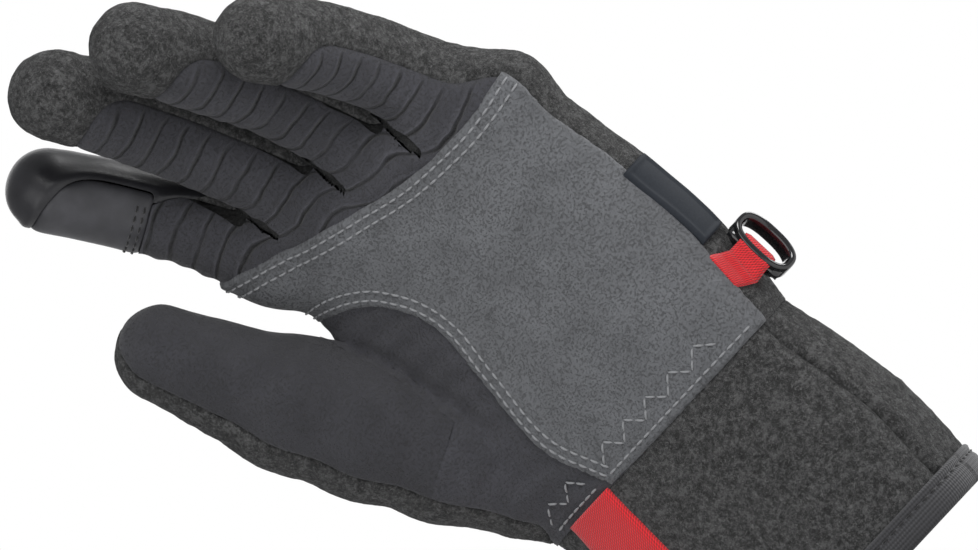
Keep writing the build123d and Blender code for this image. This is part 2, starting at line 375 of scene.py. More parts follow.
def clip(points, tris, values):
    """Keeps the part of a triangle mesh where values is positive, cut exactly along zero."""
    inside = values >= 0
    count = inside[tris].sum(axis=1)
    kept = tris[count == 3].tolist()
    new_points, new_of = [], {}

    def crossing(i, j):
        key = (i, j) if i < j else (j, i)
        if key not in new_of:
            a, b = key
            t = values[a] / (values[a] - values[b])
            new_of[key] = len(points) + len(new_points)
            new_points.append(points[a] + t * (points[b] - points[a]))
        return new_of[key]

    for tri in tris[(count == 1) | (count == 2)].tolist():
        polygon = []
        for i, j in zip(tri, tri[1:] + tri[:1]):
            if inside[i]:
                polygon.append(i)
            if inside[i] != inside[j]:
                polygon.append(crossing(i, j))
        for k in range(1, len(polygon) - 1):
            kept.append([polygon[0], polygon[k], polygon[k + 1]])
    if not kept:
        return np.zeros((0, 3)), np.zeros((0, 3), int)
    every = np.vstack([points, np.array(new_points).reshape(-1, 3)])
    used, renumbered = np.unique(np.array(kept), return_inverse=True)
    return every[used], renumbered.reshape(-1, 3)


def cut(skin, *tests):
    points, tris = skin
    for test in tests:
        points, tris = clip(points, tris, test(points))
    return points, tris


def opposite(field):
    return lambda p: -field(p)


# ---- where one panel ends and the next begins
ROOT = -9.0  # a finger's piece starts this far below its knuckle
SIDE_SEAM_Y, SIDE_SEAM_LEAN = -3.7, 0.12
SEAM_ROUND = 11.5  # a finger's radius at its side seams
SEAM_TURNS = {  # where the suede front meets the fleece: towards the thumb, towards the little finger, end
    "index": (-95, 62, 60),
    "middle": (-80, 48, 62),
    "ring": (-78, 42, 62),
    "little": (-75, 40, 48),
}
THUMB_FACING = np.array([-0.454, 0.891, 0])  # the way the camera looks


def all_fingers(p):
    """Lengths along, turns round and distances to the four fingers, a row for each."""
    return [np.array(rows) for rows in zip(*(f.coordinates(p) for f in FINGERS.values()))]


def nearest_finger(p):
    """Which finger is nearest, the length along it, the turn round it, and every finger's distance."""
    lengths, turns, distances = all_fingers(p)
    best = distances.argmin(axis=0)
    return best, np.choose(best, lengths), np.choose(best, turns), distances


def finger_region(name):
    finger, index = FINGERS[name], list(FINGERS).index(name)

    def test(p):
        distances = all_fingers(p)[2]
        others = np.delete(distances, index, axis=0).min(axis=0) - distances[index]
        above_root = (p - finger.base) @ finger.first - ROOT
        return np.minimum.reduce([others, above_root, thumb_distance(p) - distances[index]])

    return test


def thumb_root(p):
    """Positive on the thumb's own piece."""
    beyond = (p - THUMB_LINE[1]) @ THUMB_AXIS - 2
    return np.minimum(palm_distance(p) - thumb_distance(p) - 4, beyond)


def hand_region(p):
    return -np.maximum.reduce([finger_region(n)(p) for n in FINGERS] + [thumb_root(p)])


def seam_side(p):
    """Positive on the palm side of the hand's side seams."""
    bow = 2.5 * bell(p[:, 2] - 132, 25) * step(0, 30, p[:, 0])
    return -(p[:, 1] - SIDE_SEAM_Y - bow + SIDE_SEAM_LEAN * p[:, 0])


def thumb_turn(p):
    """Positive on the thumb's suede side: facing the palm side and the index finger."""
    along = unit(THUMB_LINE[-1] - THUMB_LINE[1])
    inner = unit(np.cross(THUMB_FACING, along))
    palmward = np.cross(inner, along)
    rel = p - THUMB_LINE[1]
    off = rel - (rel @ along)[:, None] * along
    return off @ (inner * 0.64 + palmward * 0.77) - 1.6


def front_field(p):
    """Positive where the suede front is, on the fingers and the palm, in millimetres from the seam."""
    best, s, phi, _ = nearest_finger(p)
    low, high, end = [np.choose(best, [SEAM_TURNS[n][i] for n in FINGERS]) for i in range(3)]
    to_high, to_low = np.radians(high) - phi, phi - np.radians(low)
    on_finger = smin(smin(SEAM_ROUND * to_high, SEAM_ROUND * to_low, 8), end - s, 12)
    on_thumb = step(-8, 2, palm_distance(p) - thumb_distance(p))
    on_palm = seam_side(p) * (1 - on_thumb) + thumb_turn(p) * on_thumb
    blend = step(-13, 1, s)
    return on_finger * blend + (1 - blend) * np.minimum(on_palm, 14)


def slit_field(p):
    """Positive on the fleece strips that show between neighbouring fingers, just past where they part."""
    _, s, phi, distances = nearest_finger(p)
    ordered = np.sort(distances, axis=0)
    along = 0.6 * smin(s + 3.5, 17 - s, 9)
    rise = FINGER_ROUND * (np.abs(phi) - math.radians(20))
    return smin(2.1 - 0.5 * (ordered[1] - ordered[0]), smin(along, rise, 3), 2)


# The palm patch, seen square on: (x, z) points of its edges, going round from the thumb side of the wrist.
WRIST_EDGE = [(-12.7, 70.5), (10, 70.2), (30, 70.3), (62, 70.6)]
FINGER_EDGE = [(62, 168), (46.0, 167), (36, 165.3), (25, 164.9), (6.7, 166.5), (-17, 172.6),
               (-38, 178.8), (-64, 186.5)]
WEB_EDGE = [(-64, 160), (-52, 157.5)]
THUMB_EDGE = [(-43, 156.5), (-33, 153.5), (-25, 148.0), (-18.5, 139), (-16.4, 129), (-18.2, 115),
              (-20.6, 101), (-19.5, 87), (-12.7, 70.5)]


def curve_through(points, spacing):
    """Points every few millimetres on a smooth curve through these ones."""
    points = np.array(points, float)
    padded = np.vstack([2 * points[0] - points[1], points, 2 * points[-1] - points[-2]])
    out = []
    for a, b, c, d in zip(padded, padded[1:], padded[2:], padded[3:]):
        for t in np.linspace(0, 1, max(2, int(np.linalg.norm(c - b) / spacing)), endpoint=False):
            square, cube = 2 * a - 5 * b + 4 * c - d, 3 * b - a - 3 * c + d
            out.append(0.5 * (2 * b + (c - a) * t + square * t**2 + cube * t**3))
    return np.array(out + [points[-1]])


PATCH_OUTLINE = np.vstack([
    WRIST_EDGE,
    curve_through(FINGER_EDGE, 4),
    WEB_EDGE,
    curve_through(THUMB_EDGE, 4)[:-1],
])


def polygon_distance(px, pz, outline):
    """Signed distance to a closed outline, positive inside."""
    inside = np.zeros(len(px), bool)
    best = np.full(len(px), FAR)
    for (x0, z0), (x1, z1) in zip(outline, np.roll(outline, -1, axis=0)):
        ex, ez = x1 - x0, z1 - z0
        t = np.clip(((px - x0) * ex + (pz - z0) * ez) / (ex * ex + ez * ez), 0, 1)
        best = np.minimum(best, np.hypot(px - x0 - t * ex, pz - z0 - t * ez))
        crosses = (z0 > pz) != (z1 > pz)
        inside ^= crosses & (px < x0 + (pz - z0) * ex / (ez or 1e-9))
    return np.where(inside, best, -best)


def patch_field(p):
    d = polygon_distance(p[:, 0], p[:, 2], PATCH_OUTLINE)
    clear_of_thumb = thumb_distance(p) - palm_distance(p) + 1.5
    return np.minimum.reduce([d, seam_side(p) + 1.0, clear_of_thumb])


# ---- soft unevenness
def value_noise(p, size, seed):
    """Smooth noise from -1 to 1 with lumps of this size, from hashed values on a grid."""
    q = p / size + seed * 17.3
    cell = np.floor(q).astype(np.int64)
    t = q - cell
    t = t * t * (3 - 2 * t)
    total = np.zeros(len(p))
    for corner in np.ndindex(2, 2, 2):
        c = cell + np.array(corner)
        h = c[:, 0] * 374761393 + c[:, 1] * 668265263 + c[:, 2] * 2147483647 + seed * 144269
        h = h & 0xFFFFFFFF
        h = ((h ^ (h >> 13)) * 1274126177) & 0xFFFFFFFF
        value = ((h ^ (h >> 16)) & 0xFFFF) / 32767.5 - 1
        total += value * np.where(corner, t, 1 - t).prod(axis=1)
    return total


def rounded_edge(f, width):
    """0 at the edge of a panel, rising to 1 like a turned-in seam."""
    t = np.clip(f / width, 0, 1)
    return np.sqrt(np.clip(1 - (1 - t) ** 2, 0, 1))


def relief(p):
    """Unevenness of the padded hand, in millimetres, before any one panel's own thickness."""
    soft = 0.55 * value_noise(p, 17, 3) + 0.3 * value_noise(p, 8, 4)
    fold = bell(hand_distance(p) - thumb_distance(p), 3.2)
    fold *= step(96, 112, p[:, 2]) * (1 - step(140, 152, p[:, 2])) * step(4, -6, p[:, 1])
    side = seam_side(p)
    crease = bell(side, 1.7) * (1 - step(66, 74, p[:, 2]))
    waist = bell(p[:, 2] - 71, 4.5) * step(-2, -16, side)
    return soft - 2.6 * fold - 1.0 * crease - 1.2 * waist


# ---- materials
def shade(colour, share):
    return tuple(min(1, c * share) for c in colour)


class Shader:
    """A Principled material with short helpers for building its node graph."""

    def __init__(self, name, roughness, specular=0.3, sheen=0.0):
        self.material = bpy.data.materials.new(name)
        self.material.use_nodes = True
        self.nodes, self.links = self.material.node_tree.nodes, self.material.node_tree.links
        self.bsdf = self.nodes["Principled BSDF"]
        self.set(self.bsdf, {"Roughness": roughness, "Specular IOR Level": specular,
                             "Sheen Weight": sheen, "Sheen Roughness": 0.6})

    def set(self, node, values):
        """Gives a node's inputs their values, or links them to another node's output."""
        for key, value in values.items():
            if isinstance(value, bpy.types.NodeSocket):
                self.links.new(value, node.inputs[key])
            else:
                node.inputs[key].default_value = value
        return node

    def field(self, name, output="Fac"):
        node = self.nodes.new("ShaderNodeAttribute")
        node.attribute_name = name
        return node.outputs[output]

    def noise(self, vector, size, detail, rough=0.6, distortion=0.0):
        """Noise from 0 to 1 with lumps of this size, in the units of vector."""
        values = {"Vector": vector, "Scale": 1.0 / size, "Detail": detail, "Roughness": rough,
                  "Distortion": distortion}
        return self.set(self.nodes.new("ShaderNodeTexNoise"), values).outputs["Fac"]

    def math(self, operation, *values):
        node = self.nodes.new("ShaderNodeMath")
        node.operation = operation
        return self.set(node, dict(enumerate(values))).outputs[0]

    def weigh(self, *parts):
        """The sum of (value, weight) parts."""
        total = 0.0
        for value, weight in parts:
            total = self.math("MULTIPLY_ADD", value, weight, total)
        return total

    def ramp(self, value, *stops):
        """Stops are (place, grey) or (place, (r, g, b))."""
        node = self.set(self.nodes.new("ShaderNodeValToRGB"), {"Fac": value})
        while len(node.color_ramp.elements) < len(stops):
            node.color_ramp.elements.new(0.5)
        for element, (place, tone) in zip(node.color_ramp.elements, stops):
            element.position = place
            element.color = (*tone, 1) if isinstance(tone, tuple) else (tone, tone, tone, 1)
        return node.outputs["Color"]

    def over(self, colour, share, paint):
        """Paint laid over a colour, by this share of it."""
        node = self.nodes.new("ShaderNodeMix")
        node.data_type = "RGBA"
        return self.set(node, {0: share, 6: colour, 7: (*paint, 1)}).outputs[2]

    def finish(self, colour, height, depth, strength):
        """depth is the height's full range in millimetres."""
        bump = self.nodes.new("ShaderNodeBump")
        self.set(bump, {"Height": height, "Distance": depth * MM, "Strength": strength})
        self.set(self.bsdf, {"Base Color": colour, "Normal": bump.outputs[0]})
        return self.material


def fleece_material(name, low, middle, high):
    s = Shader(name, 0.95, 0.12, 0.12)
    rest = s.field("rest", "Vector")
    fibres = s.noise(rest, 0.9, 6, 0.85, 0.5)
    clumps = s.noise(rest, 2.6, 4, 0.7, 0.3)
    flecks = s.ramp(s.noise(rest, 0.8, 4, 0.7, 0.8), (0.56, 0.0), (0.64, 1.0))
    tone = s.weigh((fibres, 0.62), (clumps, 0.38))
    colour = s.ramp(tone, (0.42, low), (0.5, middle), (0.57, high))
    colour = s.over(colour, s.math("MULTIPLY", flecks, 0.5), (high * 1.9, high * 1.9, high * 1.88))
    return s.finish(colour, s.weigh((fibres, 0.75), (clumps, 0.7)), 1.6, 1.0)


def suede_material(name, base, speck, ribbed=False):
    s = Shader(name, 0.85, 0.2, 0.15)
    rest = s.field("rest", "Vector")
    nap = s.noise(rest, 0.6, 4, 0.7, 0.6)
    cloud = s.noise(rest, 12.0, 4, 0.6, 0.5)
    pits = s.ramp(s.noise(rest, 0.7, 5, 0.8), (0.53, 0.0), (0.6, 1.0))
    colour = s.ramp(cloud, (0.35, shade(base, 0.86)), (0.65, shade(base, 1.12)))
    colour = s.over(colour, s.math("MULTIPLY", pits, speck), shade(base, 0.42))
    colour = s.over(colour, s.ramp(nap, (0.5, 0.0), (0.68, 0.3)), shade(base, 1.75))
    height = [(nap, 0.3), (pits, -0.22)]
    if ribbed:
        groove, ridge = ribbing(s, rest)
        # Painted shade: the colour is darkened in each rib's tuck.
        colour = s.over(colour, s.math("MULTIPLY", groove, 0.95), shade(base, 0.1))
        # Painted highlight: the colour is lightened on each rib's crest.
        colour = s.over(colour, s.math("MULTIPLY", ridge, 0.4), shade(base, 2.2))
        height += [(ridge, 0.9), (groove, -1.2)]
    return s.finish(colour, s.weigh(*height), 0.7, 1.0)


def ribbing(s, rest):
    """The tuck and the crest of each rib, fading in and out: masks for the painted shade in each tuck, the
    painted highlight on each crest and the ribs' bump.
    """
    wobble = s.math("MULTIPLY", s.math("SUBTRACT", s.noise(rest, 14.0, 2), 0.5), 0.6)
    phase = s.math("FRACT", s.math("ADD", s.field("rib"), wobble))
    fade = s.ramp(s.noise(rest, 11.0, 2), (0.35, 0.45), (0.55, 1.0))
    mask = s.math("MULTIPLY", s.field("ribbed"), fade)
    line = s.ramp(phase, (0.0, 1.0), (0.05, 1.0), (0.12, 0.0), (0.95, 0.0), (1.0, 1.0))
    crest = s.ramp(phase, (0.10, 0.0), (0.15, 1.0), (0.2, 0.9), (0.32, 0.0))
    return s.math("MULTIPLY", line, mask), s.math("MULTIPLY", crest, mask)


def leather_material(name, colour, roughness):
    s = Shader(name, roughness, 0.5)
    rest = s.field("rest", "Vector")
    grain, folds = s.noise(rest, 0.7, 3, 0.5), s.noise(rest, 6.0, 2, 0.5)
    tone = s.ramp(folds, (0.3, shade(colour, 0.8)), (0.7, shade(colour, 1.25)))
    return s.finish(tone, s.weigh((grain, 0.25), (folds, 0.6)), 0.25, 0.6)


def woven_material(name, colour, pitch, diagonal=True):
    """Close-woven tape. The field weave holds the distances across and along it."""
    s = Shader(name, 0.6, 0.35, 0.25)
    weave = s.set(s.nodes.new("ShaderNodeSeparateXYZ"), {"Vector": s.field("weave", "Vector")})
    across, along = weave.outputs[0], weave.outputs[1]
    turn = 2 * math.pi / pitch
    way = s.math("ADD", across, along) if diagonal else along
    one = s.math("SINE", s.math("MULTIPLY", way, turn))
    two = s.math("SINE", s.math("MULTIPLY", across, turn * 1.3))
    threads = s.math("MULTIPLY_ADD", one, 0.3, s.math("MULTIPLY_ADD", two, 0.2, 0.5))
    tone = s.ramp(threads, (0.1, shade(colour, 0.45)), (0.6, colour), (0.95, shade(colour, 1.3)))
    return s.finish(tone, threads, 0.25, 0.9)


def plain_material(name, colour, roughness, specular=0.5, coat=0.0):
    s = Shader(name, roughness, specular)
    s.set(s.bsdf, {"Coat Weight": coat, "Coat Roughness": 0.08})
    place = s.nodes.new("ShaderNodeTexCoord").outputs["Object"]
    fine = s.noise(place, 0.6 * MM, 3)
    return s.finish(s.ramp(fine, (0.3, shade(colour, 0.85)), (0.7, shade(colour, 1.12))), fine, 0.03, 0.5)


def thread_material(name, colour):
    s = Shader(name, 0.7, 0.3, 0.3)
    s.set(s.bsdf, {"Base Color": (*colour, 1)})
    return s.material


FLEECE = fleece_material("fleece", 0.012, 0.046, 0.125)
# A darker copy of the fleece: on the strips between the fingers it is painted shade; the hood's side wall
# takes it too.
FLEECE_DARK = fleece_material("fleece_dark", 0.004, 0.012, 0.035)
HOOD_FLEECE = fleece_material("hood_fleece", 0.012, 0.043, 0.115)
LINING_PILE = fleece_material("lining_pile", 0.006, 0.014, 0.035)
SUEDE_DARK = suede_material("suede_dark", (0.038, 0.038, 0.044), 0.35)
SUEDE_RIBBED = suede_material("suede_ribbed", (0.048, 0.048, 0.056), 0.4, ribbed=True)
SUEDE_GREY = suede_material("suede_grey", (0.128, 0.132, 0.140), 0.55)
LEATHER_BLACK = leather_material("leather_black", (0.019, 0.019, 0.022), 0.38)
PAD_LEATHER = leather_material("pad_leather", (0.050, 0.050, 0.056), 0.5)
WEB_RED = woven_material("webbing_red", (0.72, 0.006, 0.014), 0.9)
TAPE_DARK = woven_material("tape_dark", (0.030, 0.030, 0.034), 1.1, diagonal=False)
ELASTIC = woven_material("elastic", (0.06, 0.06, 0.062), 0.8)
THREAD_GREY = thread_material("thread_grey", (0.25, 0.255, 0.265))
THREAD_DARK = thread_material("thread_dark", (0.006, 0.006, 0.007))
LABEL_DARK = plain_material("label_dark", (0.020, 0.024, 0.031), 0.72, 0.25)
GLOSS_BLACK = plain_material("gloss_black", (0.008, 0.008, 0.009), 0.14, 0.6, 0.6)
BUTTON_PLASTIC = plain_material("button_plastic", (0.012, 0.012, 0.013), 0.4)


# ---- cloth panels cut from the skin
def panel(name, skin, height, material, nodes, body=None):
    """One cloth panel: a piece of the skin lifted off the glove's form by height millimetres."""
    points, tris = skin
    obj = mesh_object(name, points + outward(points) * (relief(points) + height(points))[:, None], tris)
    set_field(obj, "rest", points)
    return dress(obj, material, nodes, body)


def bend_with(obj, finger):
    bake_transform(obj)


def bend_with_thumb(obj, rest):
    """Works out how far each point lies past the thumb's seam, but makes no bend: the piece's placement is
    only baked into its mesh.
    """
    start, end = [THUMB_LINE[1] + THUMB_AXIS * length for length in (2, 26)]
    blend_by(obj, start, end, step(0.5, 26, thumb_root(rest)))


def fleece_height(field, height=0.9):
    def extra(p):
        fuzz = 0.16 * value_noise(p, 2.3, 5) + 0.09 * value_noise(p, 1.1, 6)
        return height * rounded_edge(field(p), 2.6) + fuzz
    return extra


def rib_length(p):
    """Length along the fingers, running smoothly from each finger into its neighbours."""
    lengths, _, distances = all_fingers(p)
    weights = np.exp(-(distances - distances.min(axis=0)) / 3.0)
    return (weights * lengths).sum(axis=0) / weights.sum(axis=0)


def suede_front_height(p):
    seam = front_field(p)
    wave = np.cos(2 * math.pi * (rib_length(p) / RIB_PITCH - 0.55))
    return 0.7 * rounded_edge(seam, 2.2) + 0.28 * wave * step(2, 6, seam)


def suede_front(name, skin, node, ribbed=1.0, body=None):
    obj = panel(name, skin, suede_front_height, SUEDE_RIBBED, [node], body)
    set_field(obj, "rib", rib_length(skin[0]) / RIB_PITCH)
    set_field(obj, "ribbed", step(0.5, 3.5, front_field(skin[0])) * ribbed)
    return obj


def strip_height(p):
    return -0.5 + 0.45 * value_noise(p, 1.6, 12) + 0.25 * value_noise(p, 0.9, 13)


PAD_END, PAD_START, PAD_MIDDLE, PAD_WIDTH = 54.0, 23, math.radians(-48), 19.0  # along, along, round, across


def pad_field(p):
    """Positive on the oval touch pad of the index finger."""
    s, phi, _ = INDEX.coordinates(p)
    oval = PAD_WIDTH - FINGER_ROUND * np.abs(phi - PAD_MIDDLE)
    return smin(smin(oval, PAD_END - s, 17), s - PAD_START, 2)


def cap_field(p):
    """Positive on the smooth leather that wraps the index finger's end and little-finger side."""
    s, phi, _ = INDEX.coordinates(p)
    low, high = math.radians(8) + 0.9 * step(34, 12, s), math.radians(165) - 1.1 * step(40, 10, s)
    across = smin(FINGER_ROUND * (phi - low), FINGER_ROUND * (high - phi), 5)
    side = smin(across, 0.8 * (s - 8), 6)
    rim = np.minimum(pad_field(p) + 1.9, s - 34)
    return np.maximum(smax(side, s - 46, 4), rim)


def cap_beside_pad(p):
    return np.minimum(cap_field(p), -pad_field(p))


def cap_height(p):
    return 0.9 * rounded_edge(cap_field(p), 1.5) + 0.5 * bell(pad_field(p) + 1.3, 1.1)


def pad_height(p):
    return 0.1 + 1.0 * rounded_edge(pad_field(p), 3.5)


def build_finger(name, finger):
    own = cut(SKIN, finger_region(name))
    suede, back = cut(own, front_field), cut(own, opposite(front_field))
    strip, front = cut(suede, slit_field), cut(suede, opposite(slit_field))
    strip_name = name + "_side_strip"
    # The strips between the fingers take the darker fleece as painted shade.
    pieces = [panel(strip_name, strip, strip_height, FLEECE_DARK, [strip_name])]
    if name == "index":
        front = cut(front, opposite(pad_field), opposite(cap_field))
        back = cut(back, opposite(cap_field))
        for leather, field, height, material in (
            ("index_tip_cap", cap_beside_pad, cap_height, LEATHER_BLACK),
            ("index_touch_pad", pad_field, pad_height, PAD_LEATHER),
        ):
            pieces.append(panel(leather, cut(own, field), height, material, [leather]))
    pieces.append(suede_front(name + "_front", front, name + "_front"))
    nodes = [name + "_back", name + "_lining"]
    pieces.append(panel(nodes[0], back, fleece_height(opposite(front_field)), FLEECE, nodes))
    for obj in pieces:
        bend_with(obj, finger)


TUCK = 5  # how far the suede runs on under the palm patch
PATCH_TOP = [(-60, 184), (-38, 176), (-17, 170), (6.7, 164), (25, 162), (46, 160)]  # (x, z)


def above_patch(p):
    """Positive above the palm patch's finger edge, where the cloth is ribbed."""
    x, z = zip(*PATCH_TOP)
    return p[:, 2] - np.interp(p[:, 0], x, z) + 6


def patch_height(p):
    field = patch_field(p)
    free = step(155, 166, p[:, 2] + KNUCKLE_RISE * p[:, 0])
    dents = 0.22 * value_noise(p, 6, 9)
    return 0.35 + (1.25 + 0.6 * free) * rounded_edge(field, 1.3) - 0.22 * bell(field - 3.2, 1.6) + dents


def back_seam(p):
    return np.minimum(-front_field(p), p[:, 2] - WRIST + 1)


def build_hand():
    own = cut(SKIN, hand_region, lambda p: p[:, 2] - WRIST)
    front = cut(own, front_field, lambda p: TUCK - patch_field(p))
    suede_front("palm_upper", front, "palm_panel", step(0, 10, above_patch(front[0])), "hand")
    back = cut(own, opposite(front_field))
    panel("back_panel", back, fleece_height(back_seam), FLEECE, ["back_panel"], "hand")
    patch = cut(SKIN, patch_field)
    obj = panel("palm_overlay", patch, patch_height, SUEDE_GREY, ["palm_overlay"])
    bend_with(obj, INDEX)


def thumb_front_height(p):
    return 0.8 * rounded_edge(thumb_turn(p), 2.0) + 0.1 * value_noise(p, 3, 7)


def build_thumb():
    own = cut(SKIN, thumb_root)
    front, back = cut(own, thumb_turn), cut(own, opposite(thumb_turn))
    obj = panel("thumb_front", front, thumb_front_height, SUEDE_DARK, ["thumb_front"])
    bend_with_thumb(obj, front[0])
    nodes = ["thumb_back", "thumb_lining"]
    obj = panel("thumb_back", back, fleece_height(opposite(thumb_turn)), FLEECE, nodes)
    bend_with_thumb(obj, back[0])


def build_cuff_half(name, side_field):
    def edge(p):
        return np.minimum(side_field(p), WRIST - p[:, 2] + 0.4)
    own = cut(SKIN, lambda p: p[:, 2] - 4, lambda p: WRIST - p[:, 2])
    panel(name, cut(own, side_field), fleece_height(edge, 0.8), FLEECE, [name], "hand")


# ---- strips, bands and cords
def running_total(steps):
    return np.concatenate([[0], np.cumsum(steps)])


def lengths_along(track):
    return running_total(np.linalg.norm(np.diff(track, axis=0), axis=1))


def at_lengths(track, reach, at):
    return np.stack([np.interp(at, reach, column) for column in track.T], axis=1)


def even(track, spacing=0.8):
    """The same line with evenly spaced points."""
    track = np.asarray(track, float)
    reach = lengths_along(track)
    return at_lengths(track, reach, np.arange(0, reach[-1], spacing))


def rim_edges(rows, columns, closed):
    """Pairs of neighbouring points round the border of a grid."""
    last, right = (rows - 1) * columns, columns - 1
    span = range(columns if closed else columns - 1)
    edges = [((j + 1) % columns, j) for j in span]
    edges += [(last + j, last + (j + 1) % columns) for j in span]
    if not closed:
        edges += [(i * columns, (i + 1) * columns) for i in range(rows - 1)]
        edges += [((i + 1) * columns + right, i * columns + right) for i in range(rows - 1)]
    return edges


def slab(name, grid, normals, low, high, material, node, body=None, closed=False):
    """A cloth sheet with thickness: a grid of points, its underside raised by low and its top by high."""
    shape = grid.shape[:2]
    top, under = [(grid + normals * np.broadcast_to(lift, shape)[..., None]).reshape(-1, 3)
                  for lift in (high, low)]
    count = len(top)
    faces = grid_faces(*shape, closed)
    faces += [tuple(i + count for i in reversed(f)) for f in faces]
    faces += [(a, b, b + count, a + count) for a, b in rim_edges(*shape, closed)]
    obj = mesh_object(name, np.vstack([top, under]), faces)
    weave = np.zeros((*shape, 3))
    weave[..., 0] = running_total(np.linalg.norm(np.diff(grid, axis=1), axis=2).mean(axis=0))
    weave[..., 1] = running_total(np.linalg.norm(np.diff(grid, axis=0), axis=2).mean(axis=1))[:, None]
    set_field(obj, "weave", np.vstack([weave.reshape(-1, 3)] * 2))
    set_field(obj, "rest", np.vstack([top, under]))
    return dress(obj, material, [node], body)


def tube_along(path, radius, sides, looped=False):
    """Points and faces of a round cord along a path."""
    path = np.asarray(path, float)
    if looped:
        tangent = np.roll(path, -1, axis=0) - np.roll(path, 1, axis=0)
    else:
        tangent = np.gradient(path, axis=0)
    tangent = unit(tangent)
    side = unit(np.cross(tangent, np.array([0.3, 0.9, 0.2])))
    lift = np.cross(side, tangent)
    turn = full_turn(sides)[None, :, None]
    ring = side[:, None] * np.cos(turn) + lift[:, None] * np.sin(turn)
    faces = grid_faces(len(path), sides, True, looped)
    if not looped:
        end = (len(path) - 1) * sides
        faces += [tuple(range(sides))[::-1], tuple(range(end, end + sides))]
    return (path[:, None] + radius * ring).reshape(-1, 3), faces


def palm_points(x, z):
    """Where lines square to the palm side first meet the hand."""
    return march(np.stack([x, np.full_like(x, -75.0), z], axis=1), (0, 1, 0))


def side_points(y, z):
    """Where lines along -X first meet the little-finger side."""
    return march(np.stack([np.full_like(y, 85.0), y, z], axis=1), (-1, 0, 0))


STITCH_ARCH = [-0.12, 0.16, 0.22, 0.16, -0.12]  # how high one stitch stands along its length
STITCH_TAPER = [0.5, 0.95, 1.0, 0.95, 0.5]
STITCH_SIDES = 6


def stitches(name, tracks, height, material=THREAD_GREY, width=0.34, length=2.3, gap=0.7, finger=None):
    """Rows of thread, one short bead per stitch, lying on the cloth along each track of skin points."""
    middles = []
    for track in tracks:
        reach = lengths_along(track)
        for begin in np.arange(0.3, reach[-1] - length, length + gap):
            middles.append(at_lengths(track, reach, np.linspace(begin, begin + length, len(STITCH_ARCH))))
    flat = np.vstack(middles)
    arch = np.tile(STITCH_ARCH, len(middles))
    flat = flat + outward(flat) * (relief(flat) + height(flat) + arch)[:, None]
    taper = np.repeat(STITCH_TAPER, STITCH_SIDES)[:, None]
    verts, faces = [], []
    for middle in flat.reshape(len(middles), -1, 3):
        points, bead = tube_along(middle, width, STITCH_SIDES)
        centre = np.repeat(middle, STITCH_SIDES, axis=0)
        base = len(points) * len(verts)
        verts.append(centre + (points - centre) * taper)
        faces.extend(tuple(i + base for i in f) for f in bead)
    obj = dress(mesh_object(name, np.vstack(verts), faces), material, body=None if finger else "hand")
    if finger:
        bend_with(obj, finger)


def on_palm(lines):
    """(x, z) lines laid on the palm side, without the points that miss the hand."""
    tracks = []
    for line in lines:
        p = palm_points(line[:, 0], line[:, 1])
        tracks.append(settle(p[np.abs(palm_distance(p)) < 0.4], 1))
    return tracks


# ---- stitching
STITCH_ROW = 72.9  # height of the straight row along the patch's wrist edge
ZIGZAG_FOOT, ZIGZAG_RISE, ZIGZAG_PITCH = 75.6, 4.7, 9.2


def zigzag(x_start, x_end):
    """The legs of a row of triangular stitches, as (x, z) lines."""
    count = 2 * int((x_end - x_start) / ZIGZAG_PITCH) + 1
    corners = [(x_start + ZIGZAG_PITCH * i / 2, ZIGZAG_FOOT + ZIGZAG_RISE * (i % 2)) for i in range(count)]
    return [even(leg, 0.4) for leg in zip(corners, corners[1:])]


def inset_line(line, distance):
    """An (x, z) line moved sideways, to its left when positive."""
    tangent = unit(np.gradient(line, axis=0))
    return line + distance * np.stack([-tangent[:, 1], tangent[:, 0]], axis=1)


def heel_height(p):
    return np.full(len(p), 0.75)


def build_patch_stitching():
    finger_edge = curve_through(FINGER_EDGE[1:], 1.0)
    thumb_edge = curve_through([(-50, 157.3)] + THUMB_EDGE, 1.0)
    lines = [inset_line(edge, inset) for inset in (2.2, 4.9) for edge in (finger_edge, thumb_edge)]
    lines.append([(-10.5, STITCH_ROW), (44.0, STITCH_ROW)])
    stitches("patch_stitching", on_palm([even(line) for line in lines]), patch_height, finger=INDEX)
    stitches("patch_zigzag", on_palm(zigzag(-9.5, 45.5)), patch_height, length=2.6, gap=0.55)


def build_pad_stitching():
    tracks = []
    for s in (24.8, 27.0):
        phi = np.radians(np.linspace(-112, 34, 30))
        b = np.full_like(phi, INDEX.b0 + s / INDEX.turn)
        ring = np.cos(phi)[:, None] * INDEX.normal(b) + np.sin(phi)[:, None] * INDEX.across
        tracks.append(settle(INDEX.centre(b) + FINGER_ROUND * ring, 2))
    stitches("pad_stitching", tracks, pad_height, THREAD_DARK, 0.36, 1.9, 0.8, INDEX)


def build_heel_stitching():
    """The same sewing on the thumb side of the wrist, below the thumb."""
    row = even([(-37, 73.0), (-14.5, 73.0)])
    lines = [row] + zigzag(-36.5, -14.0)
    stitches("heel_stitching", on_palm(lines), heel_height, length=2.6, gap=0.55)


# ---- cuff, lining, tab and label
def cuff_rings(heights, count=144):
    """Rings of points round the hand tube at these heights, with outward directions."""
    turn = full_turn(count)
    grid = np.empty((len(heights), count, 3))
    for ring, z in zip(grid, heights):
        cx, cy, a, b = section(z)
        ring[:, 0] = cx + a * signed_power(np.cos(turn), 2 / ROUNDNESS)
        ring[:, 1] = cy + b * signed_power(np.sin(turn), 2 / ROUNDNESS)
        ring[:, 2] = z
    normals = slope_of(hand_distance, grid.reshape(-1, 3)).reshape(grid.shape)
    normals[..., 2] = 0
    return grid, unit(normals)


def band(name, heights, low, high, material):
    """A sleeve round the hand tube between these heights."""
    grid, normals = cuff_rings(heights)
    low, high = np.asarray(low)[:, None], np.asarray(high)[:, None]
    slab(name, grid, normals, low, high, material, name, "hand", closed=True)


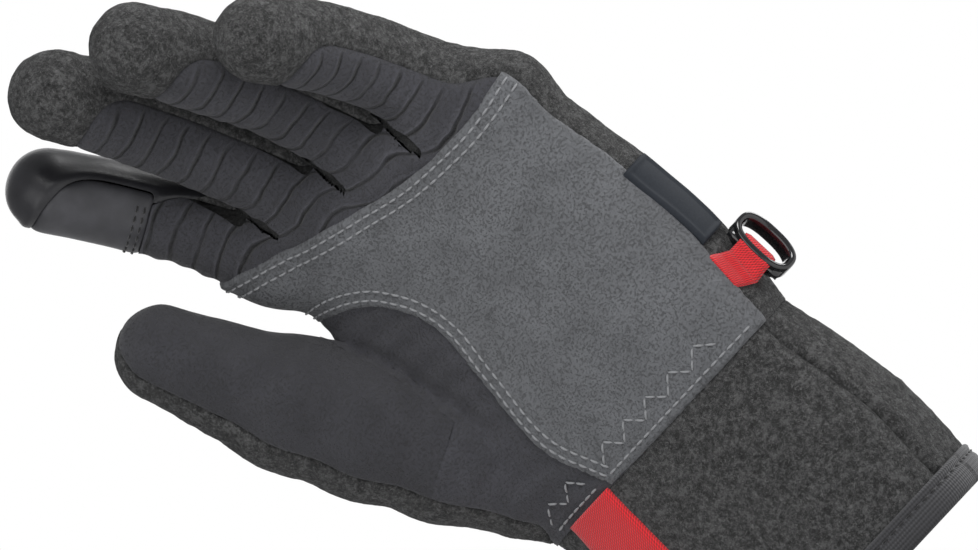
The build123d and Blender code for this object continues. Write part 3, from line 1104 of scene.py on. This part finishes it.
# Height up the binding, how far it stands in and how far out: a rolled tape with a stitched groove.
BINDING_PROFILE = [(0.0, -3.2, 0.2), (0.25, -4.1, 1.3), (1.0, -4.6, 2.1), (2.5, -4.8, 2.4),
                   (4.0, -4.8, 2.45), (5.5, -4.8, 2.35), (6.6, -4.7, 1.95), (7.2, -4.6, 1.75),
                   (7.8, -4.7, 1.95), (8.6, -4.8, 2.2), (9.2, -4.5, 1.9), (9.6, -4.0, 1.3)]
BINDING_THREAD = 7.1


def binding_groove(p):
    return 1.75 - relief(p)


def build_cuff_edge():
    heights, low, high = np.array(BINDING_PROFILE).T
    band("cuff_binding", heights, low, high, TAPE_DARK)
    ring = cuff_rings([BINDING_THREAD], 240)[0][0]
    track = np.vstack([ring, ring[:2]])
    stitches("cuff_binding_thread", [track], binding_groove, THREAD_DARK, width=0.3)
    heights = np.linspace(65, 75, 21)
    wave = 0.25 * np.sin(heights * 2.2)
    band("wrist_elastic", heights, wave - 2.6, wave - 1.8, ELASTIC)


def build_lining():
    """The pile lining, seen through the open cuff: a sleeve that closes above the palm."""
    grid, normals = cuff_rings(np.concatenate([np.linspace(6, 150, 37), np.linspace(153, 166, 8)]))
    lumps = 0.5 * value_noise(grid.reshape(-1, 3), 4, 21).reshape(grid.shape[:2])
    grid = grid + normals * (lumps - 4.4)[..., None]
    closing = 1 - step(150, 167, grid[..., 2]) * 0.93
    centre = grid.mean(axis=1, keepdims=True)
    grid = centre + (grid - centre) * closing[..., None]
    slab("hand_lining", grid, normals, -0.5, 0.0, LINING_PILE, "hand_lining", "hand", closed=True)


def on_hand(points, shape):
    """Points, outward directions and the cloth's unevenness, arranged as a grid."""
    return points.reshape(*shape, 3), outward(points).reshape(*shape, 3), relief(points).reshape(shape)


def build_pull_tab():
    x, z = np.meshgrid(np.linspace(-33.5, -14.3, 15), np.linspace(71.0, 14, 59))
    grid, normals, lift = on_hand(settle(palm_points(x.ravel(), z.ravel()), 1), x.shape)
    edge = np.minimum(x - x.min(), x.max() - x)
    selvage = 0.75 * np.sqrt(np.clip(edge / 1.2, 0, 1))
    hem = 0.5 * bell(z - 17, 2.6)
    slab("pull_tab", grid, normals, lift + 0.3, lift + 1.3 + selvage + hem, WEB_RED,
         "pull_tab", "hand")


def build_side_label():
    """A blank moulded patch with a raised border."""
    y, z = np.meshgrid(np.linspace(-8.6, 2.4, 25), np.linspace(96.5, 125, 58))
    grid, normals, lift = on_hand(side_points(y.ravel(), z.ravel()), y.shape)
    inside = np.minimum.reduce([y - y.min(), y.max() - y, z - z.min(), z.max() - z])
    border = 0.55 * np.clip(1 - np.abs(inside - 0.9) / 0.75, 0, 1) ** 0.5
    top = lift + 1.1 + 1.0 * rounded_edge(inside, 0.6) + border
    slab("side_label", grid, normals, lift + 0.5, top, LABEL_DARK, "side_label", "hand")


# ---- the ring and the loop that holds it
BAR = np.array(JOINTS["ring_swing"]["pos_m"]) / MM
UP = np.array([0, 0, 1.0])
RING_OUT = np.array([0.5, 0.866, 0])
RING_REACH, RING_HALF, RING_WALL, RING_DEPTH = 5.3, 9.8, 1.15, 3.3  # half sizes of the band, wall and depth
LOOP_FOLD = 2.35  # radius at which the webbing goes round the bar


def build_side_loop():
    """Red webbing sewn to the palm side, folded round the ring's bar."""
    z = np.linspace(-5.6, 5.6, 9)
    rows = []
    for share in np.linspace(0, 1, 12):
        p = side_points(np.full_like(z, -9.5 + 5.3 * share), BAR[2] + z + 3.2 * (1 - share))
        rows.append(p + outward(p) * (relief(p) + 1.1 + 1.2 * step(0.5, 1.0, share))[:, None])
    turns = np.radians(np.linspace(-100, 150, 16))
    fold = [(LOOP_FOLD * math.cos(t), LOOP_FOLD * math.sin(t)) for t in turns]
    tail = [(-2.3 - 3.2 * share, 1.2 - 1.4 * share) for share in (0.35, 0.7, 1.0)]
    for x, y in fold + tail:
        rows.append(BAR + np.stack([np.full_like(z, x), np.full_like(z, y), z * 0.96], axis=1))
    grid = np.array(rows)
    normals = unit(np.cross(np.gradient(grid, axis=1), np.gradient(grid, axis=0)))
    if normals[3, 4, 0] < 0:
        normals = -normals
    edge = np.minimum(z - z[0], z[-1] - z)
    high = 0.25 + 0.45 * np.sqrt(np.clip(edge / 1.4, 0, 1))
    slab("side_loop", grid, normals, -0.55, high, WEB_RED, "side_loop", "hand")


def build_ring():
    """The glossy oval ring: a moulded band with rounded lips, on a bar through the loop."""
    depth_way = np.cross(RING_OUT, UP)
    turn = full_turn(64)
    oval_x, oval_z = [signed_power(wave(turn), 2 / 2.6)[:, None] for wave in (np.cos, np.sin)]
    centre = BAR + RING_OUT * 3.65
    rows = []
    for a in full_turn(20):
        wall = RING_WALL * signed_power(math.cos(a), 0.7)
        depth = RING_DEPTH * signed_power(math.sin(a), 0.6)
        swell = wall - RING_WALL + 0.25 * (abs(depth) / RING_DEPTH) ** 3
        oval = RING_OUT * (RING_REACH + swell) * oval_x + UP * (RING_HALF + swell) * oval_z
        rows.append(centre + oval + depth_way * depth)
    points = np.array(rows).reshape(-1, 3)
    faces = grid_faces(len(rows), len(turn), True, looped=True)
    bar, bar_faces = tube_along([BAR + UP * h for h in np.linspace(-8.9, 8.9, 9)], 1.5, 14)
    faces += [tuple(i + len(points) for i in f) for f in bar_faces]
    obj = mesh_object("clip_ring", np.vstack([points, bar]), faces)
    dress(obj, GLOSS_BLACK, ["clip_ring"], "clip")


# ---- the flip-top hood
HINGE = np.array(JOINTS["hood_flip"]["pos_m"]) / MM
HOOD_TILT = math.radians(6.5)
HINGE_LEAN = math.tan(math.radians(7))
HOOD_RIGHT_WAY = np.array([1.0, 0, 0])
HOOD_DOWN = np.array([0, math.sin(HOOD_TILT), -math.cos(HOOD_TILT)])
HOOD_OUT = np.array([0, math.cos(HOOD_TILT), math.sin(HOOD_TILT)])
HOOD_MIDDLE, HOOD_HALF, HOOD_SHOULDER, HOOD_TIP = -2.0, 46.5, 58.0, 104.5
HOOD_ROUNDNESS = 2.2
HOOD_LUMPS = [(0.5, 15, 33), (0.25, 7, 34), (0.1, 2.0, 35)]  # depth, size and seed of the noise
HOOD_REST, HOOD_RISE = 2.9, 5.0  # how high the pouch's rim lies, and its crown above that


def hood_place(u, v, out=0.0, inset=0.0):
    """u runs across from -1 to 1, v from the hinge to the tip, out away from the hand."""
    half = (HOOD_HALF - inset) * (0.93 + 0.07 * step(0, 0.55, v))
    tip = HOOD_TIP - inset
    share = HOOD_SHOULDER / tip
    bend = np.clip((v - share) / (1 - share), 0, 1)
    depth = np.where(v < share, v * tip, HOOD_SHOULDER + (tip - HOOD_SHOULDER) * np.sin(bend * math.pi / 2))
    rounding = np.clip((depth - HOOD_SHOULDER) / (tip - HOOD_SHOULDER), 0, 1)
    half = half * np.maximum(1 - rounding**HOOD_ROUNDNESS, 0.0) ** (1 / HOOD_ROUNDNESS)
    x = HOOD_MIDDLE * (1 - 1.6 * rounding) + u * half
    y = 2 - x * HINGE_LEAN * (1 - v) + depth * (1 - 2 / tip)
    out = out - 4.5 * (x / 50) ** 2 * (1 - 0.4 * v)
    return HINGE + x[..., None] * HOOD_RIGHT_WAY + y[..., None] * HOOD_DOWN + out[..., None] * HOOD_OUT


def hood_grid(rows, first=0.0, last=1.0):
    return np.meshgrid(np.sin(np.linspace(-math.pi / 2, math.pi / 2, 49)), np.linspace(first, last, rows))


def crown(u, v):
    """How high the pouch stands, 0 at its sewn rim and 1 in its middle."""
    side = np.clip(1 - np.abs(u) ** 3.2, 0, 1) ** 0.5
    end = np.clip(1 - np.clip(v, 0, 1) ** 7, 0, 1) ** 0.5
    return side * end


def open_pouch(obj, u, v):
    """Works out how freely each point could open, none at the sewn rim and most in the middle, but makes no
    bend: the piece's placement is only baked into its mesh.
    """
    weight = np.clip(1 - np.abs(u) ** 7, 0, 1) * np.clip(1 - np.clip(v, 0, 1) ** 9, 0, 1)
    blend_by(obj, HINGE, HINGE + HOOD_OUT, np.tile(weight.ravel(), 2))


def hood_sheet(name, grid, low, high, material, body=None):
    return slab(name, grid, np.broadcast_to(HOOD_OUT, grid.shape), low, high, material, name, body)


def grid_noise(grid, size, seed):
    return value_noise(grid.reshape(-1, 3), size, seed).reshape(grid.shape[:2])


def build_hood_back():
    u, v = hood_grid(60)
    flat = hood_place(u, v)
    fuzz = 0.1 * grid_noise(flat, 2.0, 32)
    rim = 0.6 * (1 - crown(u, v))
    hood_sheet("hood_back", flat, 0.1 + rim + fuzz, 1.6 + rim, HOOD_FLEECE, "hood")
    high = 2.5 + 0.2 * crown(u, v) + fuzz
    hood_sheet("hood_lining", hood_place(u, v, inset=2.5), 1.7, high, LINING_PILE, "hood")


def build_hood_pouch():
    u, v = hood_grid(64, 0.065)
    grid = hood_place(u, v)
    lumps = sum(depth * grid_noise(grid, size, seed) for depth, size, seed in HOOD_LUMPS)
    creases = 0.35 * bell(np.abs(u) - 0.86, 0.04)
    top = HOOD_REST + HOOD_RISE * crown(u, v) + lumps - creases
    open_pouch(hood_sheet("hood_front", grid, top - 1.4, top, HOOD_FLEECE), u, v)
    u, v = hood_grid(9, last=0.075)
    swell = np.sqrt(np.clip(1 - ((v - 0.0375) / 0.04) ** 2, 0, 1))
    top = HOOD_REST + 0.1 + HOOD_RISE * crown(u, v) + 0.9 * swell
    grid = hood_place(u, v, inset=0.6)
    open_pouch(hood_sheet("hood_lip_band", grid, top - 2.4, top, TAPE_DARK), u, v)


def build_hood_rim():
    """The side wall between the hood's two sheets, bound all round."""
    v = np.linspace(0, 1, 60)
    edge = np.ones_like(v)
    left, right = hood_place(-edge, v, 2.2), hood_place(edge, v[::-1], 2.2)
    points, faces = tube_along(even(np.vstack([left, right[1:]]), 1.5), 2.1, 12)
    obj = mesh_object("hood_gusset", points, faces)
    set_field(obj, "rest", points)
    dress(obj, FLEECE_DARK, ["hood_gusset"], "hood")


def build_hood_loop(count=56, sides=10):
    """An elastic cord loop at the hood's tip, which hooks over the button."""
    turn = full_turn(count)
    x = 4 + 4.3 * signed_power(np.cos(turn), 0.8)
    y = HOOD_TIP + 6 + 10.4 * signed_power(np.sin(turn), 0.8)
    path = HINGE + x[:, None] * HOOD_RIGHT_WAY + y[:, None] * HOOD_DOWN + 2.0 * HOOD_OUT
    obj = mesh_object("hood_loop", *tube_along(path, 0.9, sides, looped=True))
    along = np.repeat(turn * 7.5, sides)
    around = np.tile(np.linspace(0, 5.6, sides, endpoint=False), count)
    set_field(obj, "weave", np.stack([around, along, 0 * along], axis=1))
    dress(obj, ELASTIC, ["hood_loop"], "hood")


def build_anchor_strip():
    """The sewn strip the hood turns on: a corded edge standing on a flat tape."""
    along = np.linspace(-37, 42, 60)
    x, hinge_z = HINGE[0] + along, HINGE[2] + along * HINGE_LEAN
    cord = np.stack([x, np.full_like(x, HINGE[1]), hinge_z], axis=1)
    seam = march(np.stack([x, np.full_like(x, 60.0), hinge_z - 3], axis=1), (0, -1, 0))
    seam[:, 1] = np.clip(seam[:, 1], HINGE[1] - 9, HINGE[1] - 1)
    rows = [cord + 1.3 * np.array([0, math.cos(t), math.sin(t)]) for t in full_turn(24)]
    for share in np.linspace(0, 1, 8):
        rows.append(cord * (1 - share) + (seam + [0, 0.9, 0]) * share - np.array([0, 0.3, 0]))
    grid = np.array(rows)
    normals = unit(np.cross(np.gradient(grid, axis=1), np.gradient(grid, axis=0)))
    slab("hood_anchor_strip", grid, normals, -0.25, 0.0, TAPE_DARK, "hood_anchor_strip", "hand")


# Radius and height of a turned button with a dished top, a lip and a short post.
BUTTON_PROFILE = [(0.02, 8.9), (2.2, 9.0), (3.6, 8.8), (4.2, 9.4), (5.2, 9.6), (6.1, 9.2), (6.5, 8.4),
                  (6.4, 7.2), (5.4, 6.3), (2.6, 5.9), (1.9, 5.4), (1.8, 0.0), (1.8, -3.0)]
BUTTON_TOP = 9.7


def build_button():
    (x0, _, z0), (x1, y1, z1) = np.array(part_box("stow_button")) / MM
    turn = full_turn(40)
    grid = np.empty((len(BUTTON_PROFILE), len(turn), 3))
    for row, (radius, height) in zip(grid, BUTTON_PROFILE):
        row[:, 0] = (x0 + x1) / 2 + radius * np.cos(turn)
        row[:, 1] = y1 - BUTTON_TOP + height
        row[:, 2] = (z0 + z1) / 2 + radius * np.sin(turn)
    obj = mesh_object("stow_button", grid.reshape(-1, 3), grid_faces(*grid.shape[:2], True))
    dress(obj, BUTTON_PLASTIC, ["stow_button"], "hand")


# ---- camera, light and floor
VIEW_TURN = math.radians(27)  # how far round the hand the camera stands, from square to the palm
HAND_UP = math.radians(137)  # which way the fingers point in the picture
LOOK_AT = Vector((-2.0, -5.1, 132.8)) * MM
FRAME_WIDTH = 260.8 * MM
LENS_DISTANCE = 1.5
SEEN_BACKDROP, LIT_BACKDROP = ((1, 1, 1, 1), 1.0), ((0.97, 0.98, 1.0, 1), 0.34)  # colour, strength
FLOOR_REACH, FLOOR_HEIGHT = 2500, -0.5


def build_camera():
    """An orthographic view of the palm side. Returns its right, up and backward directions."""
    side = Vector((math.cos(VIEW_TURN), math.sin(VIEW_TURN), 0))
    up = Vector((0, 0, 1))
    back = side.cross(up)
    right = side * math.sin(HAND_UP) + up * math.cos(HAND_UP)
    top = up * math.sin(HAND_UP) - side * math.cos(HAND_UP)
    camera = link(bpy.data.objects.new("camera", bpy.data.cameras.new("camera")))
    place = LOOK_AT + back * LENS_DISTANCE
    rows = [(right[i], top[i], back[i], place[i]) for i in range(3)]
    camera.matrix_world = Matrix(rows + [(0, 0, 0, 1)])
    camera.data.type = "ORTHO"
    camera.data.ortho_scale = FRAME_WIDTH
    camera.data.clip_start, camera.data.clip_end = 0.01, 20
    bpy.context.scene.camera = camera
    return right, top, back


def area_light(name, offset, size, power):
    light = bpy.data.lights.new(name, "AREA")
    light.size, light.energy = size, power
    obj = link(bpy.data.objects.new(name, light))
    obj.location = LOOK_AT + offset
    obj.rotation_euler = (-offset).to_track_quat("-Z", "Y").to_euler()


def build_world():
    """A white backdrop to the camera, and a dimmer, cooler one to everything it lights."""
    world = bpy.data.worlds.new("studio")
    world.use_nodes = True
    bpy.context.scene.world = world
    nodes, links = world.node_tree.nodes, world.node_tree.links
    mix = nodes.new("ShaderNodeMixShader")
    links.new(nodes.new("ShaderNodeLightPath").outputs["Is Camera Ray"], mix.inputs[0])
    for place, node, (colour, strength) in (
        (1, nodes.new("ShaderNodeBackground"), LIT_BACKDROP),
        (2, nodes["Background"], SEEN_BACKDROP),
    ):
        node.inputs["Color"].default_value, node.inputs["Strength"].default_value = colour, strength
        links.new(node.outputs[0], mix.inputs[place])
    links.new(mix.outputs[0], nodes["World Output"].inputs[0])


def build_floor():
    far, low = FLOOR_REACH, FLOOR_HEIGHT
    corners = [(-far, -far, low), (far, -far, low), (far, far, low), (-far, far, low)]
    floor = mesh_object("floor", corners, [(0, 1, 2, 3)], smooth=False)
    floor.data.materials.append(plain_material("floor_paper", (0.85, 0.85, 0.85), 0.9))


def build_studio():
    right, top, back = build_camera()
    area_light("key", back * 0.7 + top * 0.75 - right * 0.15, 0.5, 6.4)
    area_light("fill", back * 0.8 - top * 0.3 - right * 0.7, 0.8, 2.6)
    area_light("rim", top * 0.8 - back * 0.35 + right * 0.4, 0.5, 4.0)
    area_light("back_fill", Vector((0, 0, 0.25)) - back * 0.9, 0.9, 3.0)
    build_world()
    build_floor()
    bpy.context.scene.view_settings.view_transform = "Standard"


SKIN = master_skin(1.1)
for finger_name, one_finger in FINGERS.items():
    build_finger(finger_name, one_finger)
build_hand()
build_thumb()
build_cuff_half("cuff_front", seam_side)
build_cuff_half("cuff_back", opposite(seam_side))
build_patch_stitching()
build_pad_stitching()
build_heel_stitching()
build_cuff_edge()
build_lining()
build_pull_tab()
build_side_label()
build_side_loop()
build_ring()
build_hood_back()
build_hood_pouch()
build_hood_rim()
build_hood_loop()
build_anchor_strip()
build_button()
build_studio()
